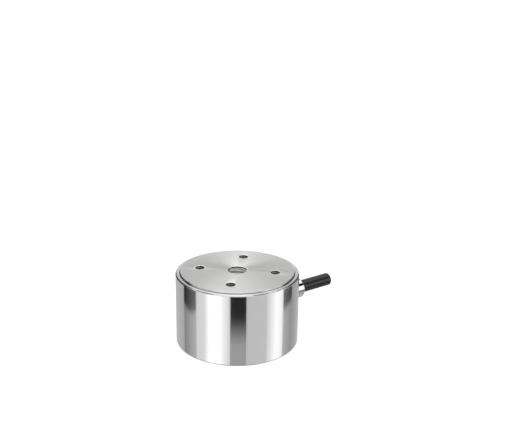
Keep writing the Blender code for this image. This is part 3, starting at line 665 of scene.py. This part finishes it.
def make_sleeve(mat, rim_mat):
    """Polished tube with a chamfered rim, a rebate for the diaphragm and a hole for the gland."""
    step_r = sleeve_inner_r + LOCATING_STEP
    rebate_r = sleeve_inner_r + DIAPHRAGM_SEAT
    ledge = rim_top - DIAPHRAGM_THICKNESS - DIAPHRAGM_GAP
    step_top = LOCATING_HEIGHT + SEAT_GAP
    outline = [
        (step_r, sleeve_foot),
        (body_r - FOOT_CHAMFER, sleeve_foot),
        (body_r, sleeve_foot + FOOT_CHAMFER),
        (body_r, rim_top - RIM_CHAMFER),
        (body_r - RIM_CHAMFER, rim_top),
        (rebate_r, rim_top),
        (rebate_r, ledge),
        (sleeve_inner_r, ledge),
        (sleeve_inner_r, step_top),
        (step_r, step_top),
    ]
    sleeve = add_piece("outer_sleeve_polished", lathe_mesh("outer_sleeve", rounded(outline, SLEEVE_EDGE)),
                       mat, "outer_sleeve")
    hole = plug_mesh("sleeve_hole", [(gland_r + SEAT_GAP, sleeve_inner_r - OVERRUN, body_r + OVERRUN)])
    cut_away(sleeve, hole, [CABLE_AXIS])
    sleeve.data.materials.append(rim_mat)
    for face in sleeve.data.polygons:
        if face.center.z > rim_top - RIM_BAND:
            face.material_index = len(sleeve.data.materials) - 1


def make_diaphragm(mat):
    """Thin ring round the load face."""
    lip_outer_r = sleeve_inner_r - DIAPHRAGM_GAP
    lip_inner_r = lip_outer_r - DIAPHRAGM_GAP
    underside = rim_top - DIAPHRAGM_THICKNESS
    outline = [
        (lip_inner_r, diaphragm_low),
        (lip_outer_r, diaphragm_low),
        (lip_outer_r, underside),
        (diaphragm_r, underside),
        (diaphragm_r, rim_top),
        (lip_inner_r, rim_top),
    ]
    add_piece("sealing_diaphragm_rolled",
              lathe_mesh("sealing_diaphragm", rounded(outline, DIAPHRAGM_EDGE)),
              mat, "sealing_diaphragm")


def make_weld(mat):
    """The fine rippled seam that joins the diaphragm to the sleeve."""
    middle_r = diaphragm_r + DIAPHRAGM_GAP / 2
    half, crown, root, ripple_share = 0.19 * MM, 0.045 * MM, 0.2 * MM, 0.25
    steps = [i / 4 - 1 for i in range(9)]
    section = [(middle_r + half * s, crown * (1 - s * s)) for s in steps]
    section += [(middle_r + DIAPHRAGM_GAP / 3, -root), (middle_r - DIAPHRAGM_GAP / 3, -root)]
    count = BODY_SEGMENTS * 3
    bm = bmesh.new()
    rings = []
    for r, lift in section:
        ring = []
        for k in range(count):
            turn = 2 * pi * k / count
            ripple = ripple_share * cos(2 * pi * k / 3) if lift > 0 else 0.0
            ring.append(bm.verts.new((r * cos(turn), r * sin(turn), rim_top + lift * (1 + ripple))))
        rings.append(ring)
    join_rings(bm, rings + [rings[0]])
    add_piece("diaphragm_weld", finish_mesh("diaphragm_weld", bm), mat)


def make_gland(mat):
    """The turned gland: its body in the wall and the rounded cap over it."""
    collar_end = cap_start - SEAT_GAP
    seat = oring_end + ORING_CLEARANCE
    outline = [
        (gland_bore_r, gland_start),
        (gland_stub_r, gland_start),
        (gland_stub_r, seat),
        (gland_r, seat),
        (gland_r, collar_end),
        (gland_stub_r, collar_end),
        (gland_stub_r, gland_end),
        (gland_bore_r, gland_end),
    ]
    body = lathe_mesh("gland_body", rounded(outline, GLAND_EDGE), GLAND_SEGMENTS)
    add_piece("gland_body_turned", body, mat, "gland_body", CABLE_AXIS)

    cavity_end = gland_face - GLAND_END_WALL
    inner, outer = (gland_hole_r, cap_start), (gland_r, cap_start)
    front, back = (gland_bore_r, gland_face), (gland_bore_r, cavity_end)
    outline = [inner]
    outline += corner_arc(inner, outer, (gland_r, gland_face), CAP_EDGE)
    outline.append((gland_r, gland_face - GLAND_SHOULDER * SHOULDER_SUPPORT))
    outline += quarter_round(gland_r, gland_face, GLAND_SHOULDER, 10)
    outline += corner_arc((gland_r - GLAND_SHOULDER, gland_face), front, back, CAP_EDGE)
    outline += [back, (gland_hole_r, cavity_end)]
    add_piece("gland_cap_turned", lathe_mesh("gland_cap", outline, GLAND_SEGMENTS),
              mat, "gland_cap", CABLE_AXIS)


def make_seam_ring(mat):
    """Black ring in the seam between the gland and the wall: painted shade in the gap."""
    inner_r, outer_r = gland_r + SEAM_SHADE_INNER_CLEARANCE, gland_r + SEAT_GAP - SEAM_SHADE_OUTER_CLEARANCE
    start, end = body_r - SEAM_SHADE_START_DEPTH, body_r - SEAM_SHADE_END_DEPTH
    outline = [(inner_r, start), (outer_r, start), (outer_r, end), (inner_r, end)]
    shade_ring = lathe_mesh("gland_seam_shade_ring", rounded(outline, SEAM_SHADE_EDGE), GLAND_SEGMENTS)
    add_piece("gland_seam_shade_ring", shade_ring, mat, place=CABLE_AXIS)


def make_cable(mat, cut_mat):
    """Jacket with a rounded, matt cut end."""
    inner_r = cable_r - JACKET_WALL
    support = cable_end - JACKET_ROUND * SUPPORT_REACH
    outline = [(inner_r, cable_start), (cable_r, cable_start), (cable_r, support)]
    outline += quarter_round(cable_r, cable_end, JACKET_ROUND, 8)
    outline.append((inner_r, cable_end))
    jacket = add_piece("cable_jacket_fine", lathe_mesh("cable_jacket", outline, GLAND_SEGMENTS),
                       mat, "cable_jacket", CABLE_AXIS)
    jacket.data.materials.append(cut_mat)
    for face in jacket.data.polygons:
        if face.center.x > cable_end - JACKET_ROUND:
            face.material_index = 1


def make_strands(mat):
    """Copper strands in the cut ends of the four cores."""
    strand_r, pitch_r, length = 0.105 * MM, 0.23 * MM, 0.24 * MM
    bm = bmesh.new()
    for across in (-CORE_OFFSET, CORE_OFFSET):
        for up in (-CORE_OFFSET, CORE_OFFSET):
            for i in range(7):
                reach = pitch_r if i else 0.0
                spot = Matrix.Translation((core_end, across + reach * cos(pi * i / 3),
                                           cable_height + up + reach * sin(pi * i / 3)))
                bmesh.ops.create_cone(bm, cap_ends=True, segments=12, radius1=strand_r,
                                      radius2=strand_r * 0.8, depth=length,
                                      matrix=spot @ Matrix.Rotation(pi / 2, 4, "Y"))
    add_piece("core_strands", finish_mesh("core_strands", bm), mat)


def dress_inner_pieces():
    """Every solid that stays in the scene gets the material of its slot."""
    finishes = {
        "brass": plain_metal("brass_bright", (0.80, 0.62, 0.30), 0.3),
        "gauge_film": gauge_material(),
        "lead_film": plastic("lead_film", (0.70, 0.30, 0.12), 0.45, 3000.0, 0.1),
        "board": board_material(),
        "spacer": plastic("spacer_laminate", (0.80, 0.78, 0.70), 0.5, 2500.0, 0.2),
        "chip": plastic("chip_ceramic", (0.04, 0.04, 0.042), 0.4, 4000.0, 0.2),
        "black_rubber": plastic("black_rubber", (0.02, 0.02, 0.02), 0.7, 3000.0, 0.3),
        "tinned_braid": braid_material(),
        "wire_red": plastic("core_red", (0.60, 0.03, 0.02), 0.35, 3000.0, 0.1),
        "wire_black": plastic("core_black", (0.02, 0.02, 0.02), 0.35, 3000.0, 0.1),
        "wire_green": plastic("core_green", (0.03, 0.35, 0.08), 0.35, 3000.0, 0.1),
        "wire_white": plastic("core_white", (0.80, 0.80, 0.78), 0.35, 3000.0, 0.1),
    }
    for part in frame["record"]["subparts"]:
        node = bpy.data.objects.get(part["node"])
        if node and part["material_slot"] in finishes:
            node.data.materials.clear()
            node.data.materials.append(finishes[part["material_slot"]])
            node.data.shade_smooth()
            node.data.set_sharp_from_angle(angle=SMOOTH_ANGLE)


# The room: floor, cards that the steel mirrors, lamps and world

def toward(azimuth, distance, height=0.0):
    """Point at an azimuth from the camera's side, positive to the photograph's right."""
    angle = azimuth - pi / 2 - CAMERA_TURN
    return Vector((distance * cos(angle), distance * sin(angle), height))


def stage_mesh(name, verts, faces, mat):
    """Mesh that belongs to the room and not to the object."""
    mesh = bpy.data.meshes.new(name)
    mesh.from_pydata([tuple(v) for v in verts], [], faces)
    mesh.materials.append(mat)
    obj = bpy.data.objects.new(name, mesh)
    bpy.context.scene.collection.objects.link(obj)
    return obj


def card_material():
    """Glow whose level each card carries on its own points."""
    mat = bpy.data.materials.new("studio_card")
    mat.use_nodes = True
    tree = mat.node_tree
    tree.nodes.clear()
    level = tree.nodes.new("ShaderNodeAttribute")
    level.attribute_name = "level"
    glow = tree.nodes.new("ShaderNodeEmission")
    out = tree.nodes.new("ShaderNodeOutputMaterial")
    tree.links.new(level.outputs["Fac"], glow.inputs["Strength"])
    tree.links.new(glow.outputs[0], out.inputs[0])
    return mat


def between(pair, share):
    """Value at a share of the way from the first to the second."""
    return pair[0] + (pair[1] - pair[0]) * share


def mirrored_card(name, mat, near_edge, far_edge, near_levels, far_levels):
    """Card between two edges of points, each with a level at its start and one at its end.
    Only the steel and the cable see it."""
    count = len(near_edge)
    faces = [(i, i + 1, count + 1 + i, count + i) for i in range(count - 1)]
    card = stage_mesh(name, near_edge + far_edge, faces, mat)
    level = card.data.attributes.new("level", "FLOAT", "POINT")
    for i in range(count):
        level.data[i].value = between(near_levels, i / (count - 1))
        level.data[count + i].value = between(far_levels, i / (count - 1))
    for ray in ("camera", "diffuse", "shadow", "transmission", "volume_scatter"):
        setattr(card, f"visible_{ray}", False)


CARD_LIFT = 0.15 * MM
CARD_START = 0.3 * MM
CARD_REACH = 420 * MM
CARD_STEP = 2                   # degrees between the points of a floor card's edge
SKY_STEP = 6                    # and of a sky card's edge
SKY_DISTANCE = 0.7
SIGHT_DISTANCE = 288.3 * MM     # of the camera along the floor from the load axis


def floor_card(name, mat, bearings, levels, near=(CARD_START, CARD_START, 0.0),
               far=(CARD_REACH, CARD_REACH, 0.0), far_levels=None):
    """Card on the floor that the wall shows the camera between two bearings of the wall, in
    degrees. It starts and ends at distances from the wall, along the mirrored line of sight:
    one at each side, and how much less midway."""
    steps = max(2, round((bearings[1] - bearings[0]) / CARD_STEP))
    edges = []
    for start, end, bow in (near, far):
        edge = []
        for i in range(steps + 1):
            share = i / steps
            bearing = radians(between(bearings, share))
            sight = atan2(CAMERA_RIGHT - body_r * sin(bearing), SIGHT_DISTANCE - body_r * cos(bearing))
            reach = between((start, end), share) - bow * 4 * share * (1 - share)
            edge.append(toward(bearing, body_r, CARD_LIFT) + toward(2 * bearing - sight, reach))
        edges.append(edge)
    mirrored_card(name, mat, *edges, levels, far_levels or levels)


def split_card(name, mat, bearings, near_levels, far_levels, split, soft=0.0, reach=CARD_REACH):
    """Floor cards between the same bearings: one up to a distance, one past it, and the soft
    change between them."""
    before = (split[0] - soft, split[1] - soft, split[2])
    after = (split[0] + soft, split[1] + soft, split[2])
    floor_card(f"{name}_near", mat, bearings, near_levels, far=before)
    if soft:
        floor_card(f"{name}_soft", mat, bearings, near_levels, before, after, far_levels)
    floor_card(f"{name}_far", mat, bearings, far_levels, near=after, far=(reach, reach, 0.0))


def ring_card(name, mat, bearings, radii, height, level):
    """Flat card round the load axis, just over the floor."""
    steps = round((bearings[1] - bearings[0]) / CARD_STEP)
    edges = [[toward(radians(between(bearings, i / steps)), r, height) for i in range(steps + 1)]
             for r in radii]
    mirrored_card(name, mat, *edges, (level, level), (level, level))


def sky_card(name, mat, azimuths, elevations, level):
    """Card in the sky between two azimuths and two elevations, in degrees."""
    steps = max(2, round((azimuths[1] - azimuths[0]) / SKY_STEP))
    edges = []
    for tilt in elevations:
        flat, height = SKY_DISTANCE * cos(radians(tilt)), SKY_DISTANCE * sin(radians(tilt))
        edges.append([toward(radians(between(azimuths, i / steps)), flat, height)
                      for i in range(steps + 1)])
    mirrored_card(name, mat, *edges, (level, level), (level, level))


def combined(tree, operation, a, b):
    """A math node's result from two sockets."""
    node = tree.nodes.new("ShaderNodeMath")
    node.operation = operation
    tree.links.new(a, node.inputs[0])
    tree.links.new(b, node.inputs[1])
    return node.outputs[0]


def background_rays(tree):
    """1 for the rays that show the background: from the camera, off metal and through glass."""
    path = tree.nodes.new("ShaderNodeLightPath")
    shown = path.outputs["Is Camera Ray"]
    for ray in ("Is Glossy Ray", "Is Transmission Ray"):
        shown = combined(tree, "MAXIMUM", shown, path.outputs[ray])
    return shown


FLOOR_COLOUR = 0.6
FLOOR_GLOW = 0.58
FLOOR_REACH = 30.0


def make_floor():
    """Pale floor that runs past the edge of the view, white but for the body's soft shadow."""
    mat = bpy.data.materials.new("floor")
    mat.use_nodes = True
    tree = mat.node_tree
    shader = tree.nodes["Principled BSDF"]
    shader.inputs["Base Color"].default_value = (FLOOR_COLOUR, FLOOR_COLOUR, FLOOR_COLOUR, 1.0)
    shader.inputs["Roughness"].default_value = 1.0
    shader.inputs["Specular IOR Level"].default_value = 0.0
    glow = tree.nodes.new("ShaderNodeEmission")
    glow.inputs["Color"].default_value = (FLOOR_GLOW, FLOOR_GLOW, FLOOR_GLOW, 1.0)
    tree.links.new(background_rays(tree), glow.inputs["Strength"])
    both = tree.nodes.new("ShaderNodeAddShader")
    tree.links.new(shader.outputs[0], both.inputs[0])
    tree.links.new(glow.outputs[0], both.inputs[1])
    tree.links.new(both.outputs[0], tree.nodes["Material Output"].inputs["Surface"])
    corners = [(x * FLOOR_REACH, y * FLOOR_REACH, 0) for x, y in ((-1, -1), (1, -1), (1, 1), (-1, 1))]
    stage_mesh("floor", corners, [(0, 1, 2, 3)], mat)


WORLD_LEVELS = (0.585, 1.0)     # of the low sky and straight overhead
WORLD_RISE = (0.55, 1.0)        # heights in the sky between which the level rises
BACKDROP_TOP = (0.225, 0.265)   # heights in the sky between which the white backdrop ends


def make_world():
    """Even soft light, brighter from overhead, and a white backdrop behind the floor."""
    world = bpy.data.worlds.new("studio")
    world.use_nodes = True
    tree = world.node_tree
    coords = tree.nodes.new("ShaderNodeTexCoord")
    split = tree.nodes.new("ShaderNodeSeparateXYZ")
    tree.links.new(coords.outputs["Generated"], split.inputs[0])
    bands = []
    for heights, levels in ((WORLD_RISE, WORLD_LEVELS), (BACKDROP_TOP, (1.0, 0.0))):
        band = tree.nodes.new("ShaderNodeMapRange")
        for name, number in zip(("From Min", "From Max", "To Min", "To Max"), (*heights, *levels)):
            band.inputs[name].default_value = number
        tree.links.new(split.outputs["Z"], band.inputs["Value"])
        bands.append(band.outputs[0])
    sky, low_band = bands
    backdrop = combined(tree, "MULTIPLY", background_rays(tree), low_band)
    level = combined(tree, "MAXIMUM", sky, backdrop)
    tree.links.new(level, tree.nodes["Background"].inputs["Strength"])
    tree.nodes["Background"].inputs["Color"].default_value = (1, 1, 1, 1)
    bpy.context.scene.world = world


LAMP_DISTANCE = 0.8
LAMP_POWER = 1.0                # watts


def area_lamp(name, azimuth, elevation, size):
    """Square lamp that faces the object. The metal doesn't mirror it."""
    data = bpy.data.lights.new(name, "AREA")
    data.size = size
    data.energy = LAMP_POWER
    lamp = bpy.data.objects.new(name, data)
    flat = LAMP_DISTANCE * cos(radians(elevation))
    place = toward(radians(azimuth), flat, LAMP_DISTANCE * sin(radians(elevation)))
    lamp.matrix_world = Matrix.Translation(place) @ (-place).to_track_quat("-Z", "Y").to_matrix().to_4x4()
    lamp.visible_glossy = False
    bpy.context.scene.collection.objects.link(lamp)


def make_floor_cards(mat):
    """Bright and dark cards that the wall mirrors, from the photograph's left to its right. Each
    has its bearings in degrees and its levels at both sides, where 1 is white."""
    floor_card("card_left", mat, (-96, -54.8), (0.61, 0.46))
    split_card("flag_left_floor", mat, (-54.8, -37.8), (0.26, 0.52), (0.0, 0.16),
               (49.6 * MM, 45.7 * MM, 5 * MM), 1.5 * MM)
    floor_card("card_left_grey", mat, (-37.8, -29.5), (0.76, 0.81))
    floor_card("card_soft_start", mat, (-29.5, -24), (0.82, 1.3))
    floor_card("card_soft", mat, (-24, -13.5), (1.4, 1.35))
    floor_card("card_soft_end", mat, (-13.5, -4.9), (1.15, 0.72))
    split_card("flag_middle", mat, (-4.9, 9.2), (0.38, 0.38), (0.018, 0.018),
               (29 * MM, 29 * MM, 0.0), 12 * MM)
    floor_card("card_middle_grey", mat, (9.2, 28.2), (0.60, 0.62))
    floor_card("card_right_start", mat, (28.2, 37), (0.76, 1.18))
    floor_card("card_right", mat, (37, 42), (1.2, 1.16))
    floor_card("card_right_end", mat, (42, 46.4), (1.12, 0.9))
    split_card("flag_right_floor", mat, (46.4, 59.7), (0.50, 0.32), (0.15, 0.02),
               (45.7 * MM, 54.4 * MM, 2 * MM), 1.5 * MM, 82 * MM)
    floor_card("card_right_back", mat, (46.4, 59.7), (1.0, 1.0), near=(82 * MM, 82 * MM, 0.0))
    floor_card("card_right_grey", mat, (59.7, 96), (0.36, 0.69))
    # Dark ring round the foot that the foot's chamfer mirrors: a painted contact shadow
    ring_card("foot_painted_shadow_ring", mat, (-100, 100), (24.0 * MM, body_r + 0.25 * MM), 0.05 * MM, 0.1)


def make_sky_cards(mat):
    """Cards that the load face, the rim, the gland and the cable mirror."""
    sky_card("card_overhead", mat, (167, 215), (45, 79), 2.75)
    sky_card("card_back", mat, (168, 192), (17, 23.5), 0.78)
    sky_card("flag_left", mat, (-155, -97), (0, 40), 0.05)
    sky_card("flag_right", mat, (101, 155), (0, 39), 0.05)
    sky_card("flag_left_high", mat, (-104, -58), (44, 64), 0.22)
    sky_card("flag_right_high", mat, (72, 98), (26.5, 44.5), 0.0)
    sky_card("flag_right_top", mat, (42, 78), (50, 63), 0.15)
    sky_card("box_right", mat, (52, 98), (0.5, 26.5), 1.25)
    sky_card("box_right_middle", mat, (90, 113), (45, 56), 1.1)
    sky_card("box_right_high", mat, (114, 160), (48, 76), 1.3)


def make_room():
    """Everything round the object."""
    make_floor()
    make_world()
    cards = card_material()
    make_floor_cards(cards)
    make_sky_cards(cards)
    area_lamp("lamp_over", 0, 85, 0.6)
    area_lamp("lamp_left", -55, 50, 0.5)
    area_lamp("lamp_right", 50, 50, 0.5)


def main():
    make_camera()
    face = turned_metal("turned_face", (0.69, 0.69, 0.68), 0.30, 0.75, "Z", "radius", 0.3)
    wall = turned_metal("polished_wall", (0.84, 0.84, 0.84), 0.12, 0.7, "Z", "along", 0.2)
    holes = (plain_metal("centre_thread_steel", (0.80, 0.795, 0.765), 0.36),
             # fixing threads darkened well below steel: painted shade inside the small holes
             plain_metal("fixing_thread_painted_shade", (0.26, 0.25, 0.23), 0.24),
             # mouth ring lighter than the steel round it: a painted highlight
             plain_metal("mouth_painted_highlight", (0.97, 0.97, 0.96), 0.55),
             # near-black plain start of each thread: painted shade of the first turn
             plain_metal("thread_start_painted_shade", (0.11, 0.105, 0.09), 0.3))
    make_spring_element(face, wall, holes)
    make_base_flange(face, holes)
    make_sleeve(wall, turned_metal("rim_top", (0.70, 0.70, 0.695), 0.16, 0.4, "Z", "radius", 0.12))
    make_diaphragm(turned_metal("rolled_ring", (0.85, 0.85, 0.845), 0.14, 0.4, "Z", "radius", 0.12))
    make_weld(plain_metal("weld_seam", (0.72, 0.71, 0.69), 0.3))
    make_gland(turned_metal("gland_steel", (0.84, 0.84, 0.84), 0.09, 0.6, "X", "along", 0.08))
    # Black seam ring: painted shade in the gap round the gland
    make_seam_ring(plastic("seam_painted_shade", (0.012, 0.012, 0.012), 0.7, 3000.0, 0.3))
    make_cable(jacket_material(), plastic("cable_cut_black", (0.005, 0.005, 0.0052), 0.75, 4000.0, 0.3))
    make_strands(plain_metal("copper_strands", (0.86, 0.50, 0.30), 0.25))
    dress_inner_pieces()
    make_room()
    bpy.context.scene.view_settings.view_transform = "Standard"


main()
